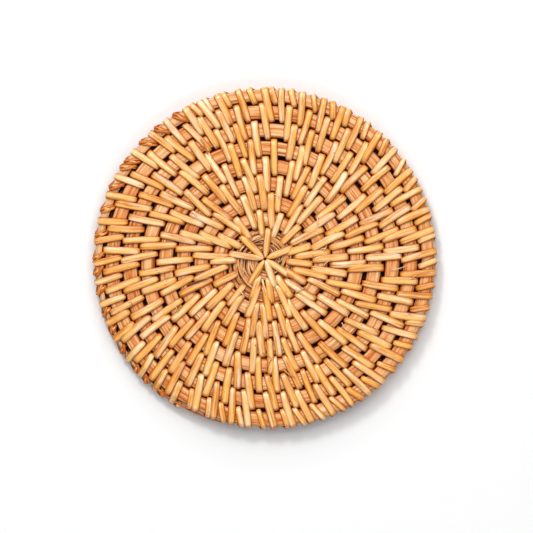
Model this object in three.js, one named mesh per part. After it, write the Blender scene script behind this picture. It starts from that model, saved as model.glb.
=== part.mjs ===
// Round trivet of coiled rattan: a spiral of core reed, bound turn to turn by stitches of cane. Each
// round of stitches is sewn with its own length of cane, which runs on beneath the core between them.
// Millimetres, +Z up. The underside rests on z = 0 and the disc is centred on the Z axis.
// A place along the coil is given in turns: one turn is a full circle counter-clockwise from +X.
import * as THREE from "three";

const fullCircle = 2 * Math.PI;

// Driving dimensions
const discRadius = 65;
const pitch = 6.74;
const coreHeight = 4.7;
const caneThickness = 0.7;
const caneWidth = 2.2;
const clearance = 0.3;

// Where the coil lies: its edge is a spiral whose middle is a little off the middle of the disc
const edgeStartTurn = -0.611;
const middleOffset = 0.9;
const middleOffsetTurn = 0.806;
const coreStartTurn = 0.2;
const coreEndTurn = 9.58;

// The core is bent in short straight steps, close enough to the curve to keep clear of the cane
const coreSides = 8;
const coreSagitta = 0.15;
const shortestStep = 1.5;
// In its last turn the core is shaved down to a thin tail, a little taller than it is wide
const tailHeightShare = 1.15;
const tailExtraHeight = 1;

// How the cane is sewn: each round has its own number of stitches, from the hub out to the rim wraps
const stitchesPerRound = [7, 14, 15, 25, 27, 28, 36, 42, 49, 50];
const firstStitchTurn = 0.66;
// The stitches of the hub end at these turns, uneven as sewn by hand
const hubStitchTurns = [0.665, 0.805, 0.905, 1.06, 1.232, 1.378, 1.477];
const stitchLean = THREE.MathUtils.degToRad(12);
const rimWrapLean = THREE.MathUtils.degToRad(26);
const mostTwistAtHub = 0.25;
const hubHoleRadius = 1.3;
const unevenness = 0.05;
const sideClearance = 0.55;
// Pulled down into the holes and along the underside, the cane draws in to this share of its width
const drawnIn = 0.45;
// Stitches that share a hole keep this share of a stitch's room apart before they push each other
const sharedHole = 0.02;
// Neighbours in a gap push each other apart, a share of the way at a time, until each has this room
const roomInGap = 2.25;
const spreadPasses = 400;
const pushShare = 0.25;
// How often the stitches are drawn towards even steps, and how firmly each is held to its lean
const evenPasses = 6;
const leanKept = 0.1;

// Heights: two layers of cane cross beneath the core, and one lies over it
const layer = caneThickness + clearance;
const coreBottomZ = 2 * layer;
const gapWidth = caneThickness + 2 * (clearance + coreSagitta);
const rimPathRadius = discRadius - caneThickness / 2;

// Radius of the middle of the gap outside the coil at a place; past the rim it stays at the rim
function gapRadius(turn) {
  const spiral = pitch * (turn - edgeStartTurn);
  const shift = middleOffset * Math.cos(fullCircle * (turn - middleOffsetTurn));
  return THREE.MathUtils.clamp(spiral + shift, hubHoleRadius, rimPathRadius);
}

function coreInnerRadius(turn) {
  return gapRadius(turn - 1) + gapWidth / 2;
}

function coreOuterRadius(turn) {
  return gapRadius(turn) - gapWidth / 2;
}

function coreHeightAt(turn) {
  if (turn < coreEndTurn - 1) {
    return coreHeight;
  }
  const width = coreOuterRadius(turn) - coreInnerRadius(turn);
  return Math.min(coreHeight, tailHeightShare * width + tailExtraHeight);
}

function pointAt(turn, radius, z) {
  const angle = fullCircle * turn;
  return new THREE.Vector3(radius * Math.cos(angle), radius * Math.sin(angle), z);
}

// A closed skin through a row of sections that all have the same number of points
function skinGeometry(sections) {
  const sides = sections[0].length;
  const positions = sections.flat().flatMap((point) => point.toArray());
  const indices = [];
  for (let row = 0; row < sections.length - 1; row += 1) {
    for (let side = 0; side < sides; side += 1) {
      const a = row * sides + side;
      const b = row * sides + ((side + 1) % sides);
      indices.push(a, b, b + sides, a, b + sides, a + sides);
    }
  }
  const lastRow = (sections.length - 1) * sides;
  for (let side = 1; side < sides - 1; side += 1) {
    indices.push(0, side + 1, side);
    indices.push(lastRow, lastRow + side, lastRow + side + 1);
  }
  const geometry = new THREE.BufferGeometry();
  geometry.setAttribute("position", new THREE.Float32BufferAttribute(positions, 3));
  geometry.setIndex(indices);
  return geometry;
}

// The core reed: an oval section that follows the coil, thin at its start and at its end
function coreSection(turn) {
  const middle = (coreInnerRadius(turn) + coreOuterRadius(turn)) / 2;
  const halfWidth = (coreOuterRadius(turn) - coreInnerRadius(turn)) / 2;
  const halfHeight = coreHeightAt(turn) / 2;
  const reach = 1 / Math.cos(Math.PI / coreSides);
  const section = [];
  for (let side = 0; side < coreSides; side += 1) {
    const angle = (side + 0.5) * (fullCircle / coreSides);
    const radius = middle + halfWidth * reach * Math.cos(angle);
    const z = coreBottomZ + halfHeight * (1 + reach * Math.sin(angle));
    section.push(pointAt(turn, radius, z));
  }
  return section;
}

function coreGeometry() {
  const sections = [];
  let turn = coreStartTurn;
  while (turn < coreEndTurn) {
    sections.push(coreSection(turn));
    const radius = coreOuterRadius(turn);
    const step = Math.max(shortestStep, Math.sqrt(8 * radius * coreSagitta));
    turn += step / (fullCircle * radius);
  }
  sections.push(coreSection(coreEndTurn));
  return skinGeometry(sections.reverse());
}

// Each stitch goes into the slot between two stitches of the round before, or two share a wide slot.
// Then they are drawn a little towards even steps along the coil.
function stitchTurns() {
  const turns = [...hubStitchTurns];
  const lastTurn = firstStitchTurn + stitchesPerRound.length;
  let owed = 0;
  for (let slot = 0; turns[turns.length - 1] < lastTurn; slot += 1) {
    const slotWidth = turns[slot + 1] - turns[slot];
    const round = Math.min(Math.floor(turns[slot] + 1 - firstStitchTurn), stitchesPerRound.length - 1);
    owed += stitchesPerRound[round] * slotWidth;
    const count = Math.max(1, Math.round(owed));
    owed -= count;
    for (let index = 0; index < count; index += 1) {
      turns.push(turns[slot] + 1 + (slotWidth * (index + 0.5)) / count);
    }
  }
  for (let pass = 0; pass < evenPasses; pass += 1) {
    for (let index = hubStitchTurns.length + 1; index < turns.length - 1; index += 1) {
      turns[index] = (turns[index - 1] + 2 * turns[index] + turns[index + 1]) / 4;
    }
  }
  return turns.filter((turn) => turn < lastTurn);
}

// A number from -1 to 1 that looks random but is the same every time
function scatter(index) {
  const wave = Math.sin(index * 12.9898) * 43758.5453;
  return 2 * (wave - Math.floor(wave)) - 1;
}

// One stitch: how many turns of the core it wraps, and where in the gaps its two ends go down. The
// stitches round the hub's own and the rim wraps take one turn, and all the others two.
function makeStitch(sewnTurn, index) {
  const round = Math.floor(sewnTurn - firstStitchTurn);
  const isRimWrap = round === stitchesPerRound.length - 1;
  const span = isRimWrap || round === 1 ? 1 : 2;
  const turn = isRimWrap ? sewnTurn - 1 : sewnTurn;
  const outerRadius = gapRadius(turn);
  const innerRadius = gapRadius(turn - span);
  const sideways = ((outerRadius - innerRadius) / 2) * Math.tan(isRimWrap ? rimWrapLean : stitchLean);
  const middle = turn + (unevenness * scatter(index)) / stitchesPerRound[round];
  const outer = middle + sideways / outerRadius / fullCircle;
  const inner = middle - Math.min(mostTwistAtHub, sideways / innerRadius) / fullCircle;
  return {
    round,
    span,
    middle,
    outer,
    inner,
    leanTurns: outer - inner,
    width: caneWidth,
  };
}

function outerRadiusOf(stitch) {
  return gapRadius(stitch.outer);
}

function innerRadiusOf(stitch) {
  return stitch.round === 0 ? hubHoleRadius : gapRadius(stitch.inner - stitch.span);
}

// Where a straight stitch passes a given radius between its two ends
function placeOnStitch(stitch, radius) {
  const innerRadius = innerRadiusOf(stitch);
  const outerRadius = outerRadiusOf(stitch);
  const share = (radius - innerRadius) / (outerRadius - innerRadius);
  const point = pointAt(stitch.inner, innerRadius, 0).lerp(pointAt(stitch.outer, outerRadius, 0), share);
  const turn = Math.atan2(point.y, point.x) / fullCircle;
  return turn + Math.round(stitch.outer - turn);
}

function crossedGapRadius(stitch) {
  return gapRadius((stitch.outer + stitch.inner) / 2 - 1);
}

// All that lies side by side in the gap along the coil: ends of stitches, and stitches that cross it.
// In a shared hole the inner end of one stitch keeps clockwise of the outer end of the other.
function gapItems(stitches) {
  const items = [];
  for (const stitch of stitches) {
    const { round, span, middle } = stitch;
    const lean = sharedHole / stitchesPerRound[round];
    items.push({ stitch, order: middle + lean, placeOf: outerPlace, moves: ["outer"] });
    if (round > 0) {
      items.push({ stitch, order: middle - lean - span, placeOf: innerPlace, moves: ["inner"] });
    }
    if (round > 1 && span === 2) {
      items.push({ stitch, order: middle - 1, placeOf: crossedPlace, moves: ["outer", "inner"] });
    }
  }
  return items.sort((a, b) => a.order - b.order);
}

function outerPlace(stitch) {
  return stitch.outer;
}

function innerPlace(stitch) {
  return stitch.inner - stitch.span;
}

function crossedPlace(stitch) {
  return placeOnStitch(stitch, crossedGapRadius(stitch)) - 1;
}

// Pushes neighbours in the gap apart until each has room, then narrows those that are still too wide
function spreadStitches(stitches) {
  const items = gapItems(stitches);
  const placeOf = (item) => item.placeOf(item.stitch);
  const millimetresPerTurn = (place) => fullCircle * gapRadius(place);
  for (let pass = 0; pass < spreadPasses; pass += 1) {
    for (let index = 0; index < items.length - 1; index += 1) {
      const before = items[index];
      const after = items[index + 1];
      const missing = roomInGap / millimetresPerTurn(placeOf(before)) + placeOf(before) - placeOf(after);
      if (missing > 0) {
        before.moves.forEach((end) => (before.stitch[end] -= pushShare * missing));
        after.moves.forEach((end) => (after.stitch[end] += pushShare * missing));
      }
    }
    for (const stitch of stitches) {
      const excess = stitch.outer - stitch.inner - stitch.leanTurns;
      stitch.outer -= (leanKept * excess) / 2;
      stitch.inner += (leanKept * excess) / 2;
    }
  }
  for (let index = 0; index < items.length - 1; index += 1) {
    const place = placeOf(items[index]);
    const distance = (placeOf(items[index + 1]) - place) * millimetresPerTurn(place);
    for (const { stitch } of [items[index], items[index + 1]]) {
      stitch.width = Math.min(stitch.width, distance - sideClearance);
    }
  }
}

// The cane's section at a bend: two points on its outer face and two on the face towards the core
function caneSection(turn, radius, z, width, outward, upward) {
  const half = caneThickness / 2;
  const roomAtHub = (fullCircle * radius) / (stitchesPerRound[0] + 2);
  const halfTurn = Math.min(width, roomAtHub) / 2 / radius / fullCircle;
  const outerFace = [radius + outward * half, z + upward * half];
  const innerFace = [radius - outward * half, z - upward * half];
  return [
    pointAt(turn - halfTurn, ...outerFace),
    pointAt(turn + halfTurn, ...outerFace),
    pointAt(turn + halfTurn, ...innerFace),
    pointAt(turn - halfTurn, ...innerFace),
  ];
}

function topZ(turn) {
  return coreBottomZ + coreHeightAt(turn) + clearance + caneThickness / 2;
}

// Rounds lie by turns in the upper and in the lower layer beneath the core, so they cross freely
function isInUpperLayer(round) {
  return round % 2 === 0;
}

function bottomZ(round) {
  return caneThickness / 2 + (isInUpperLayer(round) ? layer : 0);
}

// A stitch over the thin tail stays level over the full turn beside it, then bends down to the tail
function bendOverTail(stitch) {
  const { outer, span, width } = stitch;
  if (span === 1 || coreHeightAt(outer) === coreHeight) {
    return [];
  }
  const radius = crossedGapRadius(stitch);
  return [caneSection(placeOnStitch(stitch, radius), radius, topZ(outer - 1), width, 0, 1)];
}

// From a rim wrap the cane first goes straight outwards, clear of the long stitches in the same gap
function departureSection(stitch) {
  const innerRadius = innerRadiusOf(stitch);
  const radius = innerRadius + Math.min(gapWidth, (outerRadiusOf(stitch) - innerRadius) / 3);
  return caneSection(stitch.inner, radius, bottomZ(stitch.round), stitch.width * drawnIn, 0, -1);
}

// In the upper layer the cane goes straight beneath the crossed gap, and straight to the next one
function crossingSection(stitch) {
  const crossed = crossedGapRadius(stitch);
  const room = outerRadiusOf(stitch) - crossed;
  const radius = crossed + Math.min(gapWidth / 2, room / 3);
  const width = stitch.width * drawnIn;
  return caneSection(placeOnStitch(stitch, radius), radius, bottomZ(stitch.round), width, 0, -1);
}

function arrivalSection(stitch) {
  const room = outerRadiusOf(stitch) - crossedGapRadius(stitch);
  const radius = outerRadiusOf(stitch) - Math.min(gapWidth, room / 3);
  return caneSection(stitch.outer, radius, bottomZ(stitch.round), stitch.width * drawnIn, 0, -1);
}

// Up the outer gap, in over the core and down the inner gap
function stitchSections(stitch) {
  const { outer, inner, width, round, span } = stitch;
  const outerRadius = outerRadiusOf(stitch);
  const innerRadius = innerRadiusOf(stitch);
  return [
    caneSection(outer, outerRadius, bottomZ(round), width * drawnIn, 1, -1),
    caneSection(outer, outerRadius, topZ(outer), width, 1, 1),
    ...bendOverTail(stitch),
    caneSection(inner, innerRadius, topZ(inner - span + 1), width, -1, 1),
    caneSection(inner, innerRadius, bottomZ(round), width * drawnIn, -1, -1),
  ];
}

// One round of stitches, sewn with its own length of cane: beneath the core it runs on to the next
function caneGeometry(round, stitches) {
  const sections = stitchSections(stitches[0]);
  for (let index = 1; index < stitches.length; index += 1) {
    if (isInUpperLayer(round)) {
      sections.push(crossingSection(stitches[index - 1]));
      sections.push(arrivalSection(stitches[index]));
    }
    if (round === stitchesPerRound.length - 1) {
      sections.push(departureSection(stitches[index - 1]));
    }
    sections.push(...stitchSections(stitches[index]));
  }
  return skinGeometry(sections);
}

function rattan(color, roughness) {
  return new THREE.MeshStandardMaterial({ color, roughness, metalness: 0 });
}

const trivet = new THREE.Group();

const core = new THREE.Mesh(coreGeometry(), rattan(0xc79066, 0.7));
core.name = "core_coil";
trivet.add(core);

const stitches = stitchTurns().map(makeStitch);
spreadStitches(stitches);
stitchesPerRound.forEach((count, round) => {
  const sewn = stitches.filter((stitch) => stitch.round === round);
  const cane = new THREE.Mesh(caneGeometry(round, sewn), rattan(0xe9bf78, 0.4));
  cane.name = `cane_round_${round + 1}`;
  trivet.add(cane);
});

export default trivet;
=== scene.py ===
# Round trivet of coiled rattan: a spiral of core reed, bound turn to turn by stitches of cane.
# Metres, +Z up. A place along the coil is given in turns: one turn is a full circle
# counter-clockwise from +X, seen from above.
import math
from types import SimpleNamespace

import bpy
import numpy as np
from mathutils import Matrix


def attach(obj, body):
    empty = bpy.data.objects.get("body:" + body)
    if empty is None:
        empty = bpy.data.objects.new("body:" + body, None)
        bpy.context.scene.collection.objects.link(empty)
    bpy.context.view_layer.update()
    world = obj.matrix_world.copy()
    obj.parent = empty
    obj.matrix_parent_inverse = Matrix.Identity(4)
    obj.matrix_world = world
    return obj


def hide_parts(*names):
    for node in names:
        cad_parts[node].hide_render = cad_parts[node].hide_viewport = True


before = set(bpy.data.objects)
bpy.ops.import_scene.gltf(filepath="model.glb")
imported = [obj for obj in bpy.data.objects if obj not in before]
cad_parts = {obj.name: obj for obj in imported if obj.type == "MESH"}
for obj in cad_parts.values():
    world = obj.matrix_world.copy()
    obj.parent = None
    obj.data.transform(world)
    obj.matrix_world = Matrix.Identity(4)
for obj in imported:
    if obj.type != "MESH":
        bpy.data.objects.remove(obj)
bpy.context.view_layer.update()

MM = 0.001
FULL_CIRCLE = 2 * math.pi
UP = np.array([0.0, 0.0, 1.0])
SEED = 11

# Sizes of the coil
DISC_RADIUS = 65 * MM
PITCH = 6.74 * MM
# Turn at which the spiral would start from radius 0
EDGE_START_TURN = -0.611
# The coil lies this far off the middle of the disc, in the direction of this turn
MIDDLE_OFFSET = 0.9 * MM
MIDDLE_OFFSET_TURN = 0.806
CORE_END_TURN = 9.66
CORE_BOTTOM = 2.0 * MM
CORE_HEIGHT = 4.75 * MM
CORE_GAP = 0.85 * MM
# 1 gives an ellipse, smaller values flatter sides
CORE_ROUNDNESS = 0.62
# In its last turn the core is shaved down to a thin tail, a little taller than it is wide
TAIL_START_TURN = 8.58
TAIL_HEIGHT_SHARE = 1.15
TAIL_EXTRA_HEIGHT = 1.2 * MM

# Sizes of the cane; the crown is the part of the thickness above its edges
CANE_WIDTH = 2.95 * MM
CANE_THICKNESS = 0.72 * MM
CANE_CROWN = 0.45 * MM
CANE_ROUNDNESS = 0.44
CANE_CROWN_ROUNDNESS = 0.85
# A stitch narrows towards its inner end, and a little at its outer end
INNER_NARROWING = 0.32
INNER_NARROWING_FROM = 0.58
OUTER_NARROWING = 0.12
OUTER_NARROWING_LENGTH = 0.14
MOST_BOW = 0.35 * MM
RIM_PATH_RADIUS = DISC_RADIUS - CANE_THICKNESS / 2
# Beneath the core the cane lies in two layers, a round in each by turns
LOWER_LAYER = 0.5 * MM
UPPER_LAYER = 1.4 * MM

# How the cane is sewn
STITCHES_PER_ROUND = [7, 14, 15, 25, 27, 28, 36, 42, 49, 50]
# The long stitches from the middle, the short ones between them, and the wraps round the rim
HUB_ROUND = 0
SHORT_ROUND = 1
LAST_ROUND = len(STITCHES_PER_ROUND) - 1
FIRST_STITCH_TURN = 0.66
STITCH_LEAN = math.radians(12)
RIM_WRAP_LEAN = math.radians(26)
MOST_TWIST_AT_HUB = 0.25
# Turns at which the stitches of the hub end, uneven as sewn by hand
HUB_STITCH_TURNS = [0.665, 0.805, 0.905, 1.06, 1.232, 1.378, 1.477]
# They run from the meeting radius out to this reach at least; the short stitches start further
# in than their gap by the catch
HUB_STITCH_REACH = 11.4 * MM
HUB_HOLE_RADIUS = 1.3 * MM
HUB_MEETING_RADIUS = 0.8 * MM
HUB_CATCH = 3.0 * MM
# How far a stitch is off its even place, as a share of a step
UNEVENNESS = 0.05
# Of two ends in one hole the inner end comes first, put in order by this share of a step
SHARED_HOLE = 0.02
# Least room between neighbours in the gap, and the most before they are drawn together
ROOM_IN_GAP = 2.5 * MM
ROOM_IN_SHARED_HOLE = 1.8 * MM
ROOM_AT_HUB = 3.1 * MM
MOST_ROOM_IN_GAP = 4.2 * MM
# Neighbours move a share of the missing or spare room at a time
SPREAD_PASSES = 400
PUSH_SHARE = 0.25
PULL_SHARE = 0.03
# How often the stitches are drawn towards even steps, and how firmly each is held to its lean
EVEN_PASSES = 6
LEAN_KEPT = 0.1
# Two numbers that make the sine of a count look random
SCATTER_STEP = 12.9898
SCATTER_SIZE = 43758.5453


# Layout of the coil
def gap_radius(turn):
    """Radius of the middle of the gap outside the coil; past the rim it stays at the rim."""
    spiral = PITCH * (turn - EDGE_START_TURN)
    shift = MIDDLE_OFFSET * math.cos(FULL_CIRCLE * (turn - MIDDLE_OFFSET_TURN))
    return min(max(spiral + shift, HUB_HOLE_RADIUS), RIM_PATH_RADIUS)


def core_width(turn):
    return gap_radius(turn) - gap_radius(turn - 1) - CORE_GAP


def core_height(turn):
    if turn < TAIL_START_TURN:
        return CORE_HEIGHT
    return min(CORE_HEIGHT, TAIL_HEIGHT_SHARE * core_width(turn) + TAIL_EXTRA_HEIGHT)


def core_middle(turn):
    """Height of the middle of the core."""
    return CORE_BOTTOM + core_height(turn) / 2


def point_at(turn, radius, z=0.0):
    angle = FULL_CIRCLE * turn
    return np.array([radius * math.cos(angle), radius * math.sin(angle), z])


# Layout of the stitches
def stitch_turns():
    """Each stitch goes into the slot between two stitches of the round before."""
    turns = list(HUB_STITCH_TURNS)
    last_turn = FIRST_STITCH_TURN + len(STITCHES_PER_ROUND)
    owed = 0
    slot = 0
    while turns[-1] < last_turn:
        slot_width = turns[slot + 1] - turns[slot]
        round_index = min(math.floor(turns[slot] + 1 - FIRST_STITCH_TURN), LAST_ROUND)
        owed += STITCHES_PER_ROUND[round_index] * slot_width
        count = max(1, math.floor(owed + 0.5))
        owed -= count
        for index in range(count):
            turns.append(turns[slot] + 1 + slot_width * (index + 0.5) / count)
        slot += 1
    for _ in range(EVEN_PASSES):
        for index in range(STITCHES_PER_ROUND[HUB_ROUND] + 1, len(turns) - 1):
            turns[index] = (turns[index - 1] + 2 * turns[index] + turns[index + 1]) / 4
    return [turn for turn in turns if turn < last_turn]


def scatter(index):
    """A number from -1 to 1 that looks random but is the same every time."""
    wave = math.sin(index * SCATTER_STEP) * SCATTER_SIZE
    return 2 * (wave - math.floor(wave)) - 1


def make_stitch(sewn_turn, index):
    """A stitch by its order in the sewing; outer and inner are the turns of its two ends."""
    round_index = math.floor(sewn_turn - FIRST_STITCH_TURN)
    is_rim_wrap = round_index == LAST_ROUND
    span = 1 if is_rim_wrap or round_index == SHORT_ROUND else 2
    turn = sewn_turn - 1 if is_rim_wrap else sewn_turn
    outer_radius = gap_radius(turn)
    inner_radius = gap_radius(turn - span)
    lean = RIM_WRAP_LEAN if is_rim_wrap else STITCH_LEAN
    sideways = (outer_radius - inner_radius) / 2 * math.tan(lean)
    unevenness = UNEVENNESS if round_index > HUB_ROUND else 0
    middle = turn + unevenness * scatter(index) / STITCHES_PER_ROUND[round_index]
    outer = middle + sideways / outer_radius / FULL_CIRCLE
    inner = middle - min(MOST_TWIST_AT_HUB, sideways / inner_radius) / FULL_CIRCLE
    if round_index <= SHORT_ROUND:
        outer = middle
        inner = middle
    return SimpleNamespace(
        round=round_index,
        span=span,
        middle=middle,
        outer=outer,
        inner=inner,
        lean_turns=outer - inner,
        is_rim_wrap=is_rim_wrap,
    )


def outer_radius_of(stitch):
    return gap_radius(stitch.outer)


def inner_radius_of(stitch):
    return HUB_HOLE_RADIUS if stitch.round == HUB_ROUND else gap_radius(stitch.inner - stitch.span)


def crossed_place(stitch):
    """Where a stitch over two turns crosses the gap between them."""
    radius = gap_radius((stitch.outer + stitch.inner) / 2 - 1)
    inner_radius = inner_radius_of(stitch)
    outer_radius = outer_radius_of(stitch)
    share = (radius - inner_radius) / (outer_radius - inner_radius)
    inner_end = point_at(stitch.inner, inner_radius)
    outer_end = point_at(stitch.outer, outer_radius)
    point = inner_end + (outer_end - inner_end) * share
    turn = math.atan2(point[1], point[0]) / FULL_CIRCLE
    return turn + round(stitch.outer - turn) - 1


def gap_item(order, stitch, place, ends):
    """What a stitch has in the gap: a function for its place, and the ends that move it."""
    return SimpleNamespace(order=order, stitch=stitch, place=place, ends=ends)


def gap_items(stitches):
    """All that lies side by side in the gap along the coil, in order."""
    items = []
    for stitch in stitches:
        step = SHARED_HOLE / STITCHES_PER_ROUND[stitch.round]
        items.append(gap_item(stitch.middle + step, stitch, lambda s: s.outer, ["outer"]))
        if stitch.round > HUB_ROUND:
            order = stitch.middle - step - stitch.span
            items.append(gap_item(order, stitch, lambda s: s.inner - s.span, ["inner"]))
        if stitch.round > SHORT_ROUND and stitch.span == 2:
            items.append(gap_item(stitch.middle - 1, stitch, crossed_place, ["outer", "inner"]))
    return sorted(items, key=lambda item: item.order)


def room_between(before, after):
    if HUB_ROUND in (before.stitch.round, after.stitch.round):
        return ROOM_AT_HUB
    share_hole = before.ends == ["inner"] and after.ends == ["outer"]
    return ROOM_IN_SHARED_HOLE if share_hole else ROOM_IN_GAP


def move_item(item, turns):
    """Moves a stitch in the gap; the two rounds at the hub stay as they are."""
    if item.stitch.round > SHORT_ROUND:
        for end in item.ends:
            setattr(item.stitch, end, getattr(item.stitch, end) + turns)


def spread_stitches(stitches):
    """Pushes neighbours in the gap apart until each has room, and draws wide windows together."""
    items = gap_items(stitches)
    for _ in range(SPREAD_PASSES):
        place_before = items[0].place(items[0].stitch)
        for before, after in zip(items, items[1:]):
            place_after = after.place(after.stitch)
            one_turn = FULL_CIRCLE * gap_radius(place_before)
            missing = room_between(before, after) / one_turn + place_before - place_after
            spare = place_after - place_before - MOST_ROOM_IN_GAP / one_turn
            move = PUSH_SHARE * max(missing, 0) - PULL_SHARE * max(spare, 0)
            if move != 0:
                move_item(before, -move)
                move_item(after, move)
                place_after = after.place(after.stitch)
            place_before = place_after
        for stitch in [one for one in stitches if one.round > SHORT_ROUND]:
            excess = stitch.outer - stitch.inner - stitch.lean_turns
            stitch.outer -= LEAN_KEPT * excess / 2
            stitch.inner += LEAN_KEPT * excess / 2


# Mesh helpers
def skin_object(name, strips, material):
    """Closed skins through rows of sections. A strip is (points, attributes), points[row][side]."""
    vertices = []
    faces = []
    values = {}
    first = 0
    for points, attributes in strips:
        rows, sides = points.shape[:2]
        vertices.append(points.reshape(-1, 3))
        for row in range(rows - 1):
            for side in range(sides):
                a = first + row * sides + side
                b = first + row * sides + (side + 1) % sides
                faces.append((a, b, b + sides, a + sides))
        faces.append(tuple(first + side for side in reversed(range(sides))))
        faces.append(tuple(first + (rows - 1) * sides + side for side in range(sides)))
        for key, value in attributes.items():
            values.setdefault(key, []).append(np.broadcast_to(value, (rows, sides)).reshape(-1))
        first += rows * sides
    mesh = bpy.data.meshes.new(name)
    mesh.from_pydata(np.concatenate(vertices).tolist(), [], faces)
    for key, parts in values.items():
        attribute = mesh.attributes.new(key, "FLOAT", "POINT")
        attribute.data.foreach_set("value", np.concatenate(parts).astype(np.float32))
    mesh.polygons.foreach_set("use_smooth", [True] * len(mesh.polygons))
    mesh.materials.append(material)
    mesh.update()
    obj = bpy.data.objects.new(name, mesh)
    bpy.context.scene.collection.objects.link(obj)
    return obj


def lengths_along(path):
    steps = np.linalg.norm(np.diff(path, axis=0), axis=1)
    return np.concatenate([[0], np.cumsum(steps)])


def resample(path, count):
    """Evenly spaced points along a path of points."""
    lengths = lengths_along(path)
    wanted = np.linspace(0, lengths[-1], count)
    columns = [np.interp(wanted, lengths, column) for column in path.T]
    return np.stack(columns, axis=1)


def angles_of(sides):
    return np.arange(sides) / sides * FULL_CIRCLE


def blunted(values, roundness):
    """Cosines or sines of a circle, drawn out towards a square."""
    return np.sign(values) * np.abs(values) ** roundness


def tangents_of(path):
    steps = np.gradient(path, axis=0)
    return steps / np.linalg.norm(steps, axis=1, keepdims=True)


def ring_at(turn, radii, heights):
    """A section of the coil that stands on the line from the middle of the disc."""
    around = FULL_CIRCLE * turn
    return np.stack([radii * math.cos(around), radii * math.sin(around), heights], axis=1)


# The core reed
CORE_SIDES = 22
CORE_STEP = 0.7 * MM
THINNEST_CORE = 0.4 * MM
# The start of the reed is shaved into thin strands that wind round the hub; before their end the
# whole reed grows out of them within part of a turn, from this share of its full size
SPLIT_START_TURN = -0.5
SPLIT_END_TURN = 1.76
WHOLE_TURNS = 0.15
FIRST_GROWTH = 0.3
# Slight swellings along the reed, as a share of its size; more are drawn than its length needs
SWELL_STEP = 9 * MM
SWELL_SHARE = 0.012
SWELL_COUNT = 2000
# The outer side of the rim is in the open; elsewhere only the top and bottom of the reed are, and
# the sides of the reed get painted shade
OUTER_SIDE_LIGHT = 0.65
# Towards its end the reed is paler
BLEACHED_FROM_TURN = 9.28
BLEACHING_TURNS = 0.2


def core_section(turn, wobble, growth):
    """A section of the reed; wobble and growth are shares of its full size."""
    middle_radius = (gap_radius(turn) + gap_radius(turn - 1)) / 2
    half_width = max(core_width(turn), THINNEST_CORE) / 2 * growth
    half_height = core_height(turn) / 2 * growth
    angles = angles_of(CORE_SIDES)
    radii = middle_radius + half_width * blunted(np.cos(angles), CORE_ROUNDNESS) * wobble
    heights = core_middle(turn) + half_height * blunted(np.sin(angles), CORE_ROUNDNESS) * wobble
    return ring_at(turn, radii, heights)


def core_attributes(lengths, turns):
    """Places along and around the reed, its painted light and shade, and how bleached."""
    angles = angles_of(CORE_SIDES)[None, :]
    is_outer_side = (turns > CORE_END_TURN - 1) & (np.cos(angles) > 0)
    outer_side = np.where(is_outer_side, OUTER_SIDE_LIGHT, 0)
    return {
        "along": lengths,
        "around_x": np.cos(angles),
        "around_y": np.sin(angles),
        "painted_light_share": outer_side + np.abs(np.sin(angles)) * (1 - outer_side),
        "bleached": np.clip((turns - BLEACHED_FROM_TURN) / BLEACHING_TURNS, 0, 1),
    }


def build_core(material):
    rng = np.random.default_rng(SEED)
    swell = rng.uniform(-1, 1, SWELL_COUNT)
    sections = []
    lengths = []
    turns = []
    first_turn = SPLIT_END_TURN - WHOLE_TURNS
    turn = first_turn
    length = 0.0
    while turn < CORE_END_TURN:
        place = length / SWELL_STEP
        low = int(place)
        wobble = 1 + SWELL_SHARE * (swell[low] * (1 - place + low) + swell[low + 1] * (place - low))
        growth = min(max((turn - first_turn) / WHOLE_TURNS, FIRST_GROWTH), 1)
        sections.append(core_section(turn, wobble, growth))
        lengths.append(length)
        turns.append(turn)
        turn += CORE_STEP / (FULL_CIRCLE * gap_radius(turn))
        length += CORE_STEP
    points = np.array(sections)[::-1]
    attributes = core_attributes(np.array(lengths)[::-1, None], np.array(turns)[::-1, None])
    piece = skin_object("reed_core", [(points, attributes)], material)
    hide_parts("core_coil")
    return piece


# The thin strands round the hub; they start and end at uneven turns
HUB_STRANDS = 8
STRAND_SIDES = 8
STRAND_STEP = 0.6 * MM
STRAND_END_SPREAD = (-0.1, 0.2)
THINNEST_STRAND = 0.3 * MM
# Nearer the middle than this a strand turns no further at a step
LEAST_STRAND_RADIUS = 1 * MM
# Half the width of a strand, as a share of its room, and half its height
STRAND_FULLNESS = 0.62
STRAND_HALF_HEIGHT = 0.62 * MM
# How deep a strand lies within the reed at its middle, how much deeper at its sides, and how
# far it rises and sinks
STRAND_DEPTH = 0.9 * MM
STRAND_EXTRA_DEPTH = 1.3 * MM
STRAND_LIFT = 0.25 * MM
STRAND_LIFT_WAVES = 9
# Sideways waves of a strand: how many radians a turn, and how wide as a share of the strand
STRAND_WAVES = [(7, 0.45), (17, 0.3)]
# Random starts of the waves: one for the lift, the rest for the sideways waves and to spare
STRAND_PHASES = 4
# Painted light on a strand, darker on its underside, and what keeps the colours of the strands
# apart
STRAND_LIGHT = 0.6
STRAND_COLOR_WIDTH = 0.2
STRAND_COLOR_OFFSET = 100 * MM
MOST_STRAND_BLEACHING = 0.35


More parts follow.
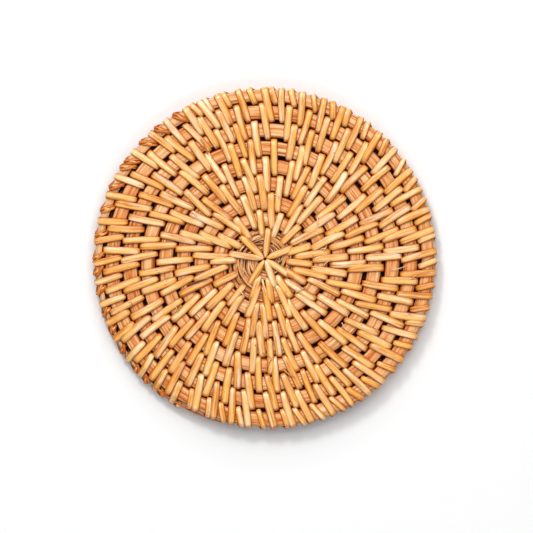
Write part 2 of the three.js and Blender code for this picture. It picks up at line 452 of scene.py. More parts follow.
def strand_section(turn, share, is_top, phases):
    """A section of a strand at a share of the reed's width, in its upper or its lower half."""
    inner = gap_radius(turn - 1)
    width = gap_radius(turn) - inner
    strand_width = max(width / HUB_STRANDS, THINNEST_STRAND)
    bow = (2 * share - 1) ** 2
    from_edge = STRAND_DEPTH + STRAND_EXTRA_DEPTH * bow
    lift = STRAND_LIFT * math.sin(STRAND_LIFT_WAVES * turn + phases[0])
    z = CORE_BOTTOM + (CORE_HEIGHT - from_edge + lift if is_top else from_edge + lift)
    waves = zip(STRAND_WAVES, phases[1:])
    sway = sum(size * math.sin(rate * turn + phase) for (rate, size), phase in waves)
    radius = inner + width * share + strand_width * sway
    angles = angles_of(STRAND_SIDES)
    radii = radius + strand_width * STRAND_FULLNESS * np.cos(angles)
    heights = z + STRAND_HALF_HEIGHT * np.sin(angles)
    return ring_at(turn, radii, heights), radius


def hub_strand(share, is_top, rng):
    """One thin strand, from the hub to where the whole reed begins."""
    turn = SPLIT_START_TURN + rng.uniform(*STRAND_END_SPREAD)
    end = SPLIT_END_TURN + rng.uniform(*STRAND_END_SPREAD)
    phases = rng.uniform(0, FULL_CIRCLE, STRAND_PHASES)
    sections = []
    while turn < end:
        section, radius = strand_section(turn, share, is_top, phases)
        sections.append(section)
        turn += STRAND_STEP / (FULL_CIRCLE * max(radius, LEAST_STRAND_RADIUS))
    angles = angles_of(STRAND_SIDES)
    along = np.arange(len(sections)) * STRAND_STEP + rng.uniform(0, STRAND_COLOR_OFFSET)
    # Painted light: darker towards the underside of the strand
    around_y = STRAND_LIGHT + np.sin(angles) * (1 - STRAND_LIGHT)
    attributes = {
        "along": along[:, None],
        "around_x": share + np.cos(angles) * STRAND_COLOR_WIDTH,
        "around_y": around_y,
        "painted_light_share": around_y,
        "bleached": rng.uniform(0, MOST_STRAND_BLEACHING),
    }
    return np.array(sections)[::-1], attributes


def build_hub_strands(material):
    rng = np.random.default_rng(SEED + 2)
    shares = (np.arange(HUB_STRANDS) + 0.5) / HUB_STRANDS
    strips = [hub_strand(share, is_top, rng) for share in shares for is_top in (True, False)]
    return skin_object("hub_strands", strips, material)


# The middle lines of the cane
TOP_ROWS = 26
BEND_ROWS = 31
# Points of a bend that lie past the ends of a stitch by less than this still carry it
END_MARGIN = 0.01 * MM
THINNEST_HALF_CORE = 0.3 * MM
BOTTOM_ROWS = 12
# Length of the bend at each end beneath the core, and its most as a share of the way
UNDER_BEND = 3 * MM
UNDER_BEND_SHARE = 0.4
UNDER_BEND_ROWS = 9


def upper_hull(points):
    """The taut line over a set of points, from the leftmost to the rightmost."""
    hull = []
    for point in sorted(points):
        while len(hull) > 1:
            (ax, ay), (bx, by) = hull[-2], hull[-1]
            if (bx - ax) * (point[1] - ay) - (by - ay) * (point[0] - ax) >= 0:
                hull.pop()
            else:
                break
        hull.append(point)
    return np.array(hull)


def bend_over(turn, middle, half_width):
    """Points of a close bend over the core: distance from the outer end, and height."""
    half_height = core_height(turn) / 2 + (CANE_THICKNESS - CANE_CROWN)
    points = []
    for angle in np.linspace(0, math.pi, BEND_ROWS):
        distance = middle + half_width * blunted(np.cos(angle), CORE_ROUNDNESS)
        height = core_middle(turn) + half_height * blunted(np.sin(angle), CORE_ROUNDNESS)
        points.append((distance, height))
    return points


def top_line(stitch, chord):
    """The taut line of a stitch over its turns of core: distance from the outer end, and height."""
    inner_core = stitch.inner - stitch.span + 1
    outer_half = max(core_width(stitch.outer) / 2, THINNEST_HALF_CORE) + CORE_GAP / 2
    inner_half = core_width(inner_core) / 2 + CORE_GAP / 2
    if stitch.round == HUB_ROUND:
        inner_half = HUB_HOLE_RADIUS
    outer_bend = bend_over(stitch.outer, outer_half, outer_half)
    inner_bend = bend_over(inner_core, chord - inner_half, inner_half)
    bends = outer_bend + inner_bend
    hull = upper_hull([point for point in bends if -END_MARGIN < point[0] < chord + END_MARGIN])
    return resample(hull, TOP_ROWS)


def bottom_line(start_height, end_height, layer, chord):
    """Down beneath the core and up again in the next gap: distance from the start, and height."""
    bend = min(UNDER_BEND, chord * UNDER_BEND_SHARE)
    angles = np.linspace(0, math.pi / 2, UNDER_BEND_ROWS)
    reach = bend * (1 - np.cos(angles))
    down = np.stack([reach, start_height - (start_height - layer) * np.sin(angles)], axis=1)
    up = np.stack([chord - reach, end_height - (end_height - layer) * np.sin(angles)], axis=1)
    return resample(np.concatenate([down, up[::-1]]), BOTTOM_ROWS)


def ends_of(stitch):
    """Points beneath which a stitch goes down, the outer one first."""
    outer_radius = outer_radius_of(stitch)
    inner_radius = inner_radius_of(stitch)
    if stitch.round == HUB_ROUND:
        inner_radius = HUB_MEETING_RADIUS
        outer_radius = max(outer_radius, HUB_STITCH_REACH)
    if stitch.round == SHORT_ROUND:
        inner_radius -= HUB_CATCH
    return point_at(stitch.outer, outer_radius), point_at(stitch.inner, inner_radius)


def rows_along(start, end, line):
    """Points in space of a line that is given by distance and height, and its level direction."""
    direction = end - start
    direction = direction / np.linalg.norm(direction[:2])
    path = start + direction * line[:, :1]
    path[:, 2] = line[:, 1]
    return path, direction


def repeated(side, path):
    return np.repeat(side[None, :], len(path), axis=0)


# The skin of the cane
SECTION_SIDES = 16
SMOOTHING_PASSES = 2


def cane_profile():
    """Across from -1 to 1, and height, of the section's points; it is crowned on top."""
    angles = (np.arange(SECTION_SIDES) + 0.5) / SECTION_SIDES * FULL_CIRCLE
    across = blunted(np.cos(angles), CANE_ROUNDNESS)
    most_height = np.where(np.sin(angles) > 0, CANE_CROWN, CANE_THICKNESS - CANE_CROWN)
    return across, most_height * blunted(np.sin(angles), CANE_CROWN_ROUNDNESS)


def ribbon(centres, sideways, widths, tones, dives, thickness_share=1.0):
    """The skin of a length of cane along its middle line."""
    across, height = cane_profile()
    for _ in range(SMOOTHING_PASSES):
        sideways[1:-1] = (sideways[:-2] + sideways[1:-1] + sideways[2:]) / 3
        widths[1:-1] = (widths[:-2] + widths[1:-1] + widths[2:]) / 3
    tangent = tangents_of(centres)
    sideways -= tangent * np.sum(sideways * tangent, axis=1, keepdims=True)
    sideways /= np.linalg.norm(sideways, axis=1, keepdims=True)
    outward = np.cross(sideways, tangent)
    points = (
        centres[:, None, :]
        + sideways[:, None, :] * (across[None, :, None] * widths[:, None, None] / 2)
        + outward[:, None, :] * height[None, :, None] * thickness_share
    )
    attributes = {
        "along": lengths_along(centres)[:, None],
        "across": across[None, :],
        "tone": tones[:, None],
        "dive": dives[:, None],
    }
    return points, attributes


# Dive says how far cane is out of sight: 0 on top, 1 deep in a gap and little at the rim, in the
# open. It sets painted shade where the cane goes down into the gaps and beneath the core. It rises
# over this share of each half of a stitch
DIVE_LENGTH = 0.3
RIM_DIVE = 0.3
LEAST_DIVE_BENEATH = 0.25


def going_down(share):
    """0 along the top of a stitch, rising to 1 at its two ends."""
    from_middle = np.abs(share - 0.5) * 2
    return np.clip((from_middle - (1 - DIVE_LENGTH)) / DIVE_LENGTH, 0, 1)


def outer_dive(stitch):
    return RIM_DIVE if outer_radius_of(stitch) >= RIM_PATH_RADIUS else 1


# Wraps at the rim between these angles, in degrees, are two thin dark strands twisted together
TWIST_FROM_ANGLE = 118
TWIST_TO_ANGLE = 236
TWIST_STRANDS = 2
TWIST_TURNS = 0.5
TWIST_RADIUS = 0.6 * MM
TWIST_WIDTH = 1.15 * MM
TWIST_WIDTH_SPREAD = (0.8, 1.1)
TWIST_TONES = (1.1, 1.45)
TWIST_THICKNESS_SHARE = 0.8
# Each end lies this much further along the rim than that of a plain wrap
TWIST_EXTRA_LEAN = 1.0 * MM


def is_twisted(stitch):
    return stitch.is_rim_wrap and TWIST_FROM_ANGLE < (stitch.outer % 1) * 360 < TWIST_TO_ANGLE


def twisted_wrap(stitch, rng):
    """The two strands of a wrap, each a strip of its own."""
    extra_turn = TWIST_EXTRA_LEAN / (FULL_CIRCLE * DISC_RADIUS)
    outer_end = point_at(stitch.outer + extra_turn, outer_radius_of(stitch))
    inner_end = point_at(stitch.inner - extra_turn, inner_radius_of(stitch))
    chord = np.linalg.norm(inner_end - outer_end)
    path, direction = rows_along(outer_end, inner_end, top_line(stitch, chord))
    side = -np.cross(UP, direction)
    share = np.linspace(0, 1, len(path))
    start = rng.uniform(0, FULL_CIRCLE)
    strips = []
    for strand in range(TWIST_STRANDS):
        phase = start + FULL_CIRCLE * (TWIST_TURNS * share + strand / TWIST_STRANDS)
        offset = side * (TWIST_RADIUS * np.cos(phase))[:, None]
        offset[:, 2] += TWIST_RADIUS / 2 * np.sin(phase)
        widths = np.full(len(path), TWIST_WIDTH * rng.uniform(*TWIST_WIDTH_SPREAD))
        tones = np.full(len(path), rng.uniform(*TWIST_TONES))
        sideways = repeated(side, path)
        dives = going_down(share)
        strips.append(ribbon(path + offset, sideways, widths, tones, dives, TWIST_THICKNESS_SHARE))
    return strips


# Widths of the cane as shares of its full width
RIM_WRAP_WIDTH_SHARE = 0.85
WIDTH_SHARE_BENEATH_TWIST = 0.3
WIDTH_SHARE_BENEATH_CORE = 0.75
# Where the stitches of the hub meet, each is as wide as its share of the circle, and a little
# more; beneath the core it is no wider than this share of its distance from the middle
HUB_OVERLAP = 1.05
HUB_WIDTH_BENEATH = 0.9


def stitch_width(stitch, share):
    inner_part = np.clip((share - INNER_NARROWING_FROM) / (1 - INNER_NARROWING_FROM), 0, 1)
    outer_part = np.clip(1 - share / OUTER_NARROWING_LENGTH, 0, 1)
    narrowing = INNER_NARROWING * inner_part**2 + OUTER_NARROWING * outer_part**2
    return CANE_WIDTH * stitch.width_share * (1 - narrowing)


def part_over(stitch):
    """A stitch on top of the core: middle line, sideways directions, widths, tones and dives."""
    outer_end, inner_end = ends_of(stitch)
    chord = np.linalg.norm(inner_end - outer_end)
    path, direction = rows_along(outer_end, inner_end, top_line(stitch, chord))
    side = -np.cross(UP, direction)
    share = np.linspace(0, 1, len(path))
    path += side * stitch.bow * np.sin(math.pi * share)[:, None]
    widths = stitch_width(stitch, share)
    if stitch.is_rim_wrap:
        widths *= WIDTH_SHARE_BENEATH_TWIST if is_twisted(stitch) else RIM_WRAP_WIDTH_SHARE
    if stitch.round == HUB_ROUND:
        from_middle = np.linalg.norm(path[:, :2], axis=1)
        room = from_middle * FULL_CIRCLE / STITCHES_PER_ROUND[HUB_ROUND]
        widths = np.minimum(widths, room * HUB_OVERLAP)
    tones = np.full(len(path), stitch.tone)
    dives = going_down(share) * np.where(share < 0.5, outer_dive(stitch), 1)
    return path, repeated(side, path), widths, tones, dives


def part_beneath(stitch, following, start_height):
    """The same beneath the core, from the inner end of a stitch to the outer end of the next."""
    _, start = ends_of(stitch)
    end, _ = ends_of(following)
    chord = np.linalg.norm(end - start)
    layer = UPPER_LAYER if stitch.round % 2 == 0 else LOWER_LAYER
    line = bottom_line(start_height, core_middle(following.outer), layer, chord)
    path, direction = rows_along(start, end, line[1:-1])
    side = np.cross(UP, direction)
    widths = np.full(len(path), CANE_WIDTH * WIDTH_SHARE_BENEATH_CORE)
    if stitch.round == HUB_ROUND:
        widths = np.minimum(widths, np.linalg.norm(path[:, :2], axis=1) * HUB_WIDTH_BENEATH)
    tones = np.full(len(path), stitch.tone)
    place = np.linspace(-1, 1, len(path))
    dives = LEAST_DIVE_BENEATH + (1 - LEAST_DIVE_BENEATH) * place**2
    dives *= np.where(place > 0, outer_dive(following), 1)
    return path, repeated(side, path), widths, tones, dives


def cane_strip(stitches):
    """One length of cane that makes all the given stitches, one after another."""
    parts = [part_over(stitches[0])]
    for stitch, following in zip(stitches, stitches[1:]):
        last_row = parts[-1][0][-1]
        parts.append(part_beneath(stitch, following, last_row[2]))
        parts.append(part_over(following))
    return ribbon(*(np.concatenate(columns) for columns in zip(*parts)))


# How the stitches differ; tone 0 is the palest cane and 1 a deep amber
WIDTH_SHARES = (0.88, 1.06)
PALEST_TONE = 0.14
TONE_SPREAD = 0.62
TONE_SHAPE = (2.2, 2.6)
RIM_EXTRA_TONE = 0.12
SHORT_STITCH_BOW = 0.3


def vary_stitch(stitch, rng):
    is_short = stitch.span == 1 or stitch.round == HUB_ROUND
    stitch.width_share = rng.uniform(*WIDTH_SHARES)
    stitch.tone = PALEST_TONE + TONE_SPREAD * rng.beta(*TONE_SHAPE)
    stitch.tone += RIM_EXTRA_TONE if stitch.is_rim_wrap else 0
    stitch.bow = rng.uniform(-MOST_BOW, MOST_BOW) * (SHORT_STITCH_BOW if is_short else 1)


def build_cane(stitches, material):
    """One piece for each round of stitches, from the hub to the rim."""
    rng = np.random.default_rng(SEED + 1)
    for stitch in stitches:
        vary_stitch(stitch, rng)
    pieces = []
    for round_index in range(len(STITCHES_PER_ROUND)):
        sewn = [stitch for stitch in stitches if stitch.round == round_index]
        strips = [cane_strip(sewn)]
        for stitch in sewn:
            if is_twisted(stitch):
                strips += twisted_wrap(stitch, rng)
        piece = skin_object(f"cane_binding_{round_index + 1}", strips, material)
        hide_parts(f"cane_round_{round_index + 1}")
        pieces.append(piece)
    return pieces


# Loose fibres. All sizes in this table and the next are in millimetres and degrees; x and y start
# at the middle of the disc, and heading is where the fibre points
FIBRE_COLUMNS = ("x", "y", "heading", "length", "bow", "width", "tone")
FIBRES = [
    (-24.5, 45.5, -65, 7.0, 0.4, 0.8, 1.35),
    (-24.0, 42.5, -40, 3.0, -0.3, 0.5, 1.3),
    (-27.5, 18.0, -55, 2.5, 0.4, 1.0, 0.1),
    (22.0, 2.5, 60, 3.0, 0.2, 0.7, 0.1),
    (21.0, 3.5, 0, 2.5, 0.4, 0.6, 0.1),
    (19.5, 31.0, -50, 3.0, 0.2, 0.4, 0),
    (19.5, 16.0, -85, 3.5, 0.3, 0.35, 0),
    (3.5, 24.5, -35, 3.5, 0.2, 0.4, 0),
    (-41.0, -4.0, -25, 3.0, -0.3, 0.5, 0.1),
    (-52.0, -16.0, -25, 3.0, 0.3, 0.5, 0.1),
    (-34.5, -17.0, -65, 3.5, 0.3, 0.5, 0.3),
    (-33.0, -20.5, 65, 3.5, 0.2, 0.4, 0.3),
    (-1.0, -35.5, -35, 4.5, 0.4, 0.5, 1.2),
    (2.5, -38.0, -115, 6.5, -0.4, 0.5, 1.2),
    (47.5, -4.0, 15, 6.5, -0.4, 0.45, 0),
    (22.0, -2.5, 35, 4.0, 0.3, 0.6, 0.1),
    (11.5, -12.5, 30, 4.5, -0.3, 0.55, 0.1),
    (30.0, -18.5, -75, 4.5, 0.3, 0.4, 0),
    (29.0, -24.0, -55, 4.0, -0.2, 0.4, 0),
    (7.0, -41.5, -35, 5.5, -0.5, 0.7, 1.0),
    (54.5, -8.0, 40, 3.5, -0.2, 0.35, 0),
    (-5.0, 7.0, 25, 4.0, 0.3, 0.9, 0),
    (-10.0, -11.5, -55, 4.0, 0.3, 0.5, 0),
    (-7.0, -18.5, 70, 4.0, -0.3, 0.4, 0),
    (-4.5, -16.5, -75, 6.5, 0.4, 0.45, 0),
    (-1.0, -7.5, -70, 8.5, -0.5, 0.9, 0.1),
    (-5.5, -44.5, -60, 3.5, 0.3, 0.35, 1),
    (-29.4, -10.3, 19, 9.0, 0.4, 0.9, 1.65),
]
# Short shavings round the hub: the lowest and highest of each size. Their angle and radius say
# where they start, and their heading is measured from straight along the coil
HUB_FIBRES = 30
HUB_FIBRE_RANGES = {
    "angle": (0, 360),
    "radius": (4, 10.5),
    "heading": (-40, 25),
    "length": (2, 4.5),
    "bow": (-0.5, 0.2),
    "width": (0.25, 0.5),
    "tone": (0, 0.2),
    "foot": (6.3, 6.7),
    "rise": (0.1, 0.6),
}
# Height of the foot of a fibre and how far its tip rises above it, in millimetres as well
FIBRE_FOOT = 7.3
FIBRE_RISE = 0.9
FIBRE_ROWS = 9
FIBRE_TIP_NARROWING = 0.75
FIBRE_THICKNESS_SHARE = 0.45
# Beyond the end of the reed a thin strand of it runs on along the rim. It starts off the edge of
# the coil by the offset, drifts in and sinks
END_STRAND_TURNS = (9.635, 9.71)
END_STRAND_ROWS = 4 * FIBRE_ROWS
END_STRAND_HEIGHT = 5.0 * MM
END_STRAND_SINKING = 1.5 * MM
END_STRAND_OFFSET = 0.95 * MM
END_STRAND_DRIFT = 0.6 * MM
END_STRAND_WIDTH = 1.2 * MM
END_STRAND_NARROWING = 0.6
END_STRAND_TONE = 1.3
END_STRAND_THICKNESS_SHARE = 0.8


def fibre_strip(x, y, heading, length, bow, width, tone, foot=FIBRE_FOOT, rise=FIBRE_RISE):
    """A fibre that narrows and rises towards its tip, from sizes in millimetres and degrees."""
    share = np.linspace(0, 1, FIBRE_ROWS)[:, None]
    angle = math.radians(heading)
    direction = np.array([math.cos(angle), math.sin(angle), 0.0])
    side = np.array([-direction[1], direction[0], 0.0])
    start = np.array([x, y, 0.0]) * MM
    path = start + direction * length * MM * share + side * bow * MM * np.sin(math.pi * share)
    path[:, 2] = foot * MM + rise * MM * np.sin(math.pi / 2 * share[:, 0])
    widths = width * MM * (1 - FIBRE_TIP_NARROWING * share[:, 0] ** 2)
    tones = np.full(FIBRE_ROWS, tone)
    dives = np.zeros(FIBRE_ROWS)
    return ribbon(path, repeated(side, path), widths, tones, dives, FIBRE_THICKNESS_SHARE)


def hub_fibre(rng):
    drawn = {key: rng.uniform(*limits) for key, limits in HUB_FIBRE_RANGES.items()}
    angle = drawn.pop("angle")
    radius = drawn.pop("radius")
    x = radius * math.cos(math.radians(angle))
    y = radius * math.sin(math.radians(angle))
    drawn["heading"] = angle + 90 + drawn["heading"]
    return fibre_strip(x=x, y=y, **drawn)


def end_strand():
    turns = np.linspace(*END_STRAND_TURNS, END_STRAND_ROWS)
    share = np.linspace(0, 1, END_STRAND_ROWS)
    coil_edge = np.array([gap_radius(turn - 1) for turn in turns])
    radii = coil_edge + (END_STRAND_OFFSET - END_STRAND_DRIFT * share)
    heights = END_STRAND_HEIGHT - END_STRAND_SINKING * share**2
    path = np.array([point_at(*row) for row in zip(turns, radii, heights)])
    sides = path * (1, 1, 0) / radii[:, None]
    widths = END_STRAND_WIDTH * (1 - END_STRAND_NARROWING * share)
    tones = np.full(END_STRAND_ROWS, END_STRAND_TONE)
    dives = np.zeros(END_STRAND_ROWS)
    return ribbon(path, sides, widths, tones, dives, END_STRAND_THICKNESS_SHARE)


def build_loose_fibres(material):
    """Hairs, splinters and frays of the cane, and short shavings round the hub."""
    rng = np.random.default_rng(SEED + 3)
    strips = [fibre_strip(**dict(zip(FIBRE_COLUMNS, row))) for row in FIBRES]
    strips.append(end_strand())
    for _ in range(HUB_FIBRES):
        strips.append(hub_fibre(rng))
    return skin_object("loose_fibres", strips, material)


# Building blocks of the materials
# Places among the sockets of a Mix node of the share and the two colours, and of the mixed colour
MIX_INPUTS = (0, 6, 7)
MIX_OUTPUT = 2


class NodeTree:
    """The nodes of one material. Values that go in are sockets, numbers or colours."""

    def __init__(self, name):
        self.material = bpy.data.materials.new(name)
        self.material.use_nodes = True
        self.nodes = self.material.node_tree.nodes
        self.links = self.material.node_tree.links
        self.shader = next(node for node in self.nodes if node.type == "BSDF_PRINCIPLED")

    def feed(self, socket, value):
        if isinstance(value, bpy.types.NodeSocket):
            self.links.new(value, socket)
        elif isinstance(value, tuple):
            socket.default_value = (*value, 1)
        else:
            socket.default_value = value

    def shade(self, name, value):
        """Sets an input of the shader."""
        self.feed(self.shader.inputs[name], value)

    def attribute(self, name):
        node = self.nodes.new("ShaderNodeAttribute")
        node.attribute_name = name
        return node.outputs["Fac"]

    def compute(self, operation, *values, clamp=False):
        node = self.nodes.new("ShaderNodeMath")
        node.operation = operation
        node.use_clamp = clamp
        for socket, value in zip(node.inputs, values):
            self.feed(socket, value)
        return node.outputs[0]

    def noise(self, places, scales, detail, roughness=0.5):
        """Noise over three values, each multiplied by its own scale."""
        combine = self.nodes.new("ShaderNodeCombineXYZ")
        for socket, place, scale in zip(combine.inputs, places, scales):
            self.feed(socket, self.compute("MULTIPLY", place, scale))
        node = self.nodes.new("ShaderNodeTexNoise")
        node.inputs["Scale"].default_value = 1.0
        node.inputs["Detail"].default_value = detail
        node.inputs["Roughness"].default_value = roughness
        self.feed(node.inputs["Vector"], combine.outputs[0])
        return node.outputs["Fac"]

    def ramp(self, value, stops):
        """Colours at places from 0 to 1."""
        node = self.nodes.new("ShaderNodeValToRGB")
        elements = node.color_ramp.elements
        while len(elements) < len(stops):
            elements.new(0.5)
        for element, (place, color) in zip(elements, stops):
            element.position = place
            element.color = (*color, 1)
        self.feed(node.inputs[0], value)
        return node.outputs[0]

    def mix(self, share, first, second, blend="MIX"):
        node = self.nodes.new("ShaderNodeMix")
        node.data_type = "RGBA"
        node.blend_type = blend
        for index, value in zip(MIX_INPUTS, (share, first, second)):
            self.feed(node.inputs[index], value)
        return node.outputs[MIX_OUTPUT]

    def bump(self, height, strength, distance):
        node = self.nodes.new("ShaderNodeBump")
        node.inputs["Strength"].default_value = strength
        node.inputs["Distance"].default_value = distance
        self.feed(node.inputs["Height"], height)
        self.shade("Normal", node.outputs[0])


BLACK = (0, 0, 0)
WHITE = (1, 1, 1)


def grey(value):
    return (value, value, value)


# Glossy outer skin of rattan: pale straw to gold, streaked along, with pale worn streaks that are
# partly painted sheen, amber edges that are partly painted shade, and painted shade where the cane
# goes down into the gaps and beneath the core.
# Noise scales are for the places along, across and tone; tone keeps the stitches apart
TONE_RAMP_SHARE = 0.6
TONE_COLORS = [
    (0.06, (0.94, 0.66, 0.34)),
    (0.28, (0.90, 0.53, 0.16)),
    (0.46, (0.87, 0.45, 0.10)),
    (0.6, (0.80, 0.33, 0.05)),
    (0.87, (0.56, 0.17, 0.016)),
    (1.0, (0.09, 0.025, 0.01)),
]
STREAK_SCALES = (55, 1.7, 370)
STREAK_SHARE = 0.9
STREAK_COLORS = [
    (0.32, (0.50, 0.22, 0.05)),
    (0.46, (0.92, 0.72, 0.48)),
    (0.58, WHITE),
]
# Pale worn streaks, partly the cane's own wear and partly painted sheen
WORN_AND_SHEEN_SCALES = (90, 0.9, 530)
WORN_AND_SHEEN_MASK = [(0.5, BLACK), (0.68, WHITE)]
WORN_AND_SHEEN_COLOR = (1.0, 0.90, 0.71)
# Pale cane has more worn streaks, partly painted sheen, and more gloss than dark cane: the value at
# tone 0, and its change with tone
WORN_AND_SHEEN_AT_PALEST = 0.75
WORN_AND_SHEEN_BY_TONE = -0.6
COAT_AT_PALEST = 0.75
COAT_BY_TONE = -0.4
# Amber edges: partly the cane's own colour, partly painted shade on its rounded sides
EDGE_SHARPNESS = 2.3
EDGE_SHARE = 0.95
AMBER_EDGE_AND_SHADE_COLOR = (0.35, 0.06, 0.003)
# Painted shade, amber to near black, where the cane goes down into the gaps and beneath the core
PAINTED_CANE_SHADE_COLORS = [
    (0.0, WHITE),
    (0.5, (0.80, 0.43, 0.15)),
    (0.9, (0.045, 0.008, 0.0015)),
]
SPECK_SCALES = (700, 2.2, 910)
SPECK_MASK = [(0.72, BLACK), (0.78, WHITE)]
SPECK_SHARE = 0.7
SPECK_COLOR = (0.14, 0.045, 0.012)
GLOSS_ROUGHNESS = [(0.3, grey(0.5)), (0.65, grey(0.27))]
OPEN_MASK = [(0.2, WHITE), (0.9, BLACK)]
CANE_SHINE = 0.6
COAT_ROUGHNESS = 0.14
STREAK_BUMP = 0.5
STREAK_BUMP_DEPTH = 0.6 * MM


def cane_material():
    tree = NodeTree("cane_skin")
    across = tree.attribute("across")
    tone = tree.attribute("tone")
    dive = tree.attribute("dive")
    places = (tree.attribute("along"), across, tone)

    color = tree.ramp(tree.compute("MULTIPLY", tone, TONE_RAMP_SHARE), TONE_COLORS)
    streaks = tree.noise(places, STREAK_SCALES, detail=4.0, roughness=0.65)
    color = tree.mix(STREAK_SHARE, color, tree.ramp(streaks, STREAK_COLORS), "MULTIPLY")
    # Pale worn streaks, partly painted sheen
    worn_and_sheen = tree.ramp(tree.noise(places, WORN_AND_SHEEN_SCALES, detail=3.0), WORN_AND_SHEEN_MASK)
    pale_share = tree.compute("MULTIPLY_ADD", tone, WORN_AND_SHEEN_BY_TONE, WORN_AND_SHEEN_AT_PALEST, clamp=True)
    color = tree.mix(tree.compute("MULTIPLY", worn_and_sheen, pale_share), color, WORN_AND_SHEEN_COLOR)
    # Amber edges, partly painted shade on the rounded sides of the cane
    edge = tree.compute("POWER", tree.compute("ABSOLUTE", across), EDGE_SHARPNESS)
    color = tree.mix(tree.compute("MULTIPLY", edge, EDGE_SHARE), color, AMBER_EDGE_AND_SHADE_COLOR)
    # Painted shade where the cane goes down into the gaps and beneath the core
    color = tree.mix(1.0, color, tree.ramp(dive, PAINTED_CANE_SHADE_COLORS), "MULTIPLY")
    speck = tree.ramp(tree.noise(places, SPECK_SCALES, detail=1.0), SPECK_MASK)
    color = tree.mix(tree.compute("MULTIPLY", speck, SPECK_SHARE), color, SPECK_COLOR)
    tree.shade("Base Color", color)

    in_the_open = tree.ramp(dive, OPEN_MASK)
    on_top = tree.compute("SUBTRACT", 1.0, edge)
    exposed = tree.compute("MULTIPLY", in_the_open, on_top)
    coat = tree.compute("MULTIPLY_ADD", tone, COAT_BY_TONE, COAT_AT_PALEST, clamp=True)
    tree.shade("Roughness", tree.ramp(streaks, GLOSS_ROUGHNESS))
    tree.shade("Coat Weight", tree.compute("MULTIPLY", coat, exposed))
    tree.shade("Coat Roughness", COAT_ROUGHNESS)
    tree.shade("Specular IOR Level", tree.compute("MULTIPLY", exposed, CANE_SHINE))
    tree.bump(streaks, STREAK_BUMP, STREAK_BUMP_DEPTH)
    return tree.material


# Peeled reed: a bundle of coarse fibres, pinkish tan on top, with painted shade down in the gaps.
# Noise scales are for the place along the reed and the two places around it
RIDGE_SCALES = (28, 2.6, 2.6)
FINE_FIBRE_SCALES = (60, 6, 6)
FINE_FIBRE_SHARE = 0.5
FIBRE_COLORS = [
    (0.30, (0.20, 0.035, 0.004)),
    (0.40, (0.54, 0.17, 0.033)),
    (0.5, (0.80, 0.42, 0.175)),
    (0.63, (0.93, 0.64, 0.38)),
]
PATCH_SCALES = (70, 0.8, 0.8)
PATCH_SHARE = 0.7
PATCH_COLORS = [(0.35, (0.92, 0.66, 0.46)), (0.65, WHITE)]
BLEACHED_SHARE = 0.5
BLEACHED_COLOR = (0.93, 0.66, 0.38)
# Painted shade: the reed darkens on its sides, down in the gaps
PAINTED_GAP_SHADE_COLORS = [
    (0.24, (0.005, 0.0006, 0.0002)),
    (0.53, (0.34, 0.09, 0.016)),
    (0.77, WHITE),
]
REED_ROUGHNESS = 0.55
REED_SHINE = [(0.3, BLACK), (0.8, grey(0.3))]
REED_BUMP = 0.8
REED_BUMP_DEPTH = 1.6 * MM


def core_material():
    tree = NodeTree("reed_fibres")
    painted_light_share = tree.attribute("painted_light_share")
    places = [tree.attribute(name) for name in ("along", "around_x", "around_y")]

    ridges = tree.noise(places, RIDGE_SCALES, detail=2.0)
    fine_fibres = tree.noise(places, FINE_FIBRE_SCALES, detail=3.0, roughness=0.6)
    fibres = tree.mix(FINE_FIBRE_SHARE, ridges, fine_fibres)
    color = tree.ramp(fibres, FIBRE_COLORS)
    patches = tree.ramp(tree.noise(places, PATCH_SCALES, detail=2.0), PATCH_COLORS)
    color = tree.mix(PATCH_SHARE, color, patches, "MULTIPLY")
    bleached = tree.compute("MULTIPLY", tree.attribute("bleached"), BLEACHED_SHARE)
    color = tree.mix(bleached, color, BLEACHED_COLOR)
    # Painted shade on the sides of the reed in the gaps, by its share of painted light
    color = tree.mix(1.0, color, tree.ramp(painted_light_share, PAINTED_GAP_SHADE_COLORS), "MULTIPLY")

    tree.shade("Base Color", color)
    tree.shade("Roughness", REED_ROUGHNESS)
    tree.shade("Specular IOR Level", tree.ramp(painted_light_share, REED_SHINE))
    tree.bump(fibres, REED_BUMP, REED_BUMP_DEPTH)
    return tree.material


# Floor, light and camera
FLOOR_SIZE = 6
FLOOR_COLOR = (0.8, 0.8, 0.8)
FLOOR_ROUGHNESS = 0.9
# Name, place, size of the square and power in watts; each light faces the middle of the trivet
LIGHTS = [
    ("key", (-0.02, 0.78, 0.92), 1.5, 20),
    ("glint", (-0.35, 0.8, 0.85), 0.2, 6.2),
    ("fill", (0.1, -0.75, 0.8), 0.8, 5.1),
]
SKY_STRENGTH = 0.25
EXPOSURE = -0.47
# The width of the square photograph, and the width of the disc in it and how far the disc lies
# right of and above its middle
PHOTO_PIXELS = 533
DISC_PIXELS = 344
DISC_RIGHT_PIXELS = -1.5
DISC_UP_PIXELS = 7.5
CAMERA_HEIGHT = 1.2
SENSOR_WIDTH = 36.0
# Height above the floor at which the disc has that width for the camera
SCALE_HEIGHT = 7 * MM


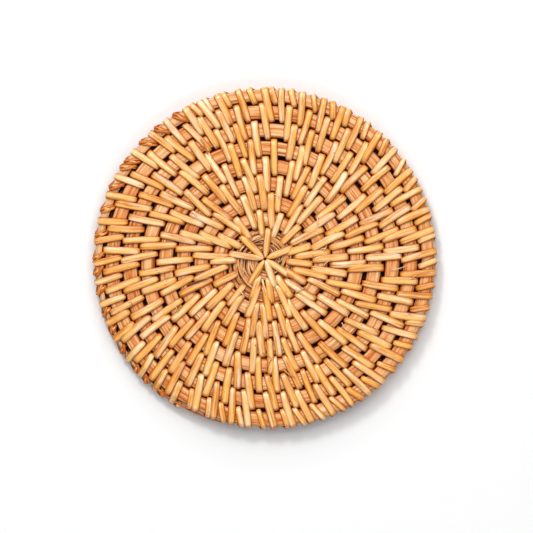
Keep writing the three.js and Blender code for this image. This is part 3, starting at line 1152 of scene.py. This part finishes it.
def add_floor():
    bpy.ops.mesh.primitive_plane_add(size=FLOOR_SIZE, location=(0, 0, 0))
    floor = bpy.context.object
    floor.name = "floor"
    tree = NodeTree("floor_white")
    tree.shade("Base Color", FLOOR_COLOR)
    tree.shade("Roughness", FLOOR_ROUGHNESS)
    floor.data.materials.append(tree.material)


def add_light(name, location, size, power):
    data = bpy.data.lights.new(name, "AREA")
    data.shape = "SQUARE"
    data.size = size
    data.energy = power
    light = bpy.data.objects.new(name, data)
    light.location = location
    x, y, z = location
    tilt = math.atan2(math.hypot(x, y), z)
    light.rotation_euler = (tilt, 0, math.atan2(-y, -x) - math.pi / 2)
    bpy.context.scene.collection.objects.link(light)


def add_camera():
    pixel = 2 * DISC_RADIUS / DISC_PIXELS
    data = bpy.data.cameras.new("camera")
    data.sensor_width = SENSOR_WIDTH
    data.lens = SENSOR_WIDTH * (CAMERA_HEIGHT - SCALE_HEIGHT) / (PHOTO_PIXELS * pixel)
    camera = bpy.data.objects.new("camera", data)
    camera.location = (-DISC_RIGHT_PIXELS * pixel, -DISC_UP_PIXELS * pixel, CAMERA_HEIGHT)
    bpy.context.scene.collection.objects.link(camera)
    bpy.context.scene.camera = camera


def add_world():
    world = bpy.data.worlds.new("studio")
    world.use_nodes = True
    background = world.node_tree.nodes["Background"]
    background.inputs["Color"].default_value = (*WHITE, 1)
    background.inputs["Strength"].default_value = SKY_STRENGTH
    bpy.context.scene.world = world


def set_view():
    settings = bpy.context.scene.view_settings
    settings.view_transform = "Standard"
    settings.look = "Medium High Contrast"
    settings.exposure = EXPOSURE


# The trivet
cane = cane_material()
core = core_material()
sewn_stitches = [make_stitch(turn, index) for index, turn in enumerate(stitch_turns())]
spread_stitches(sewn_stitches)

for reed_piece in (build_core(core), build_hub_strands(core)):
    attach(reed_piece, "root")
for cane_piece in build_cane(sewn_stitches, cane) + [build_loose_fibres(cane)]:
    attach(cane_piece, "root")

add_floor()
for light_row in LIGHTS:
    add_light(*light_row)
add_world()
set_view()
add_camera()
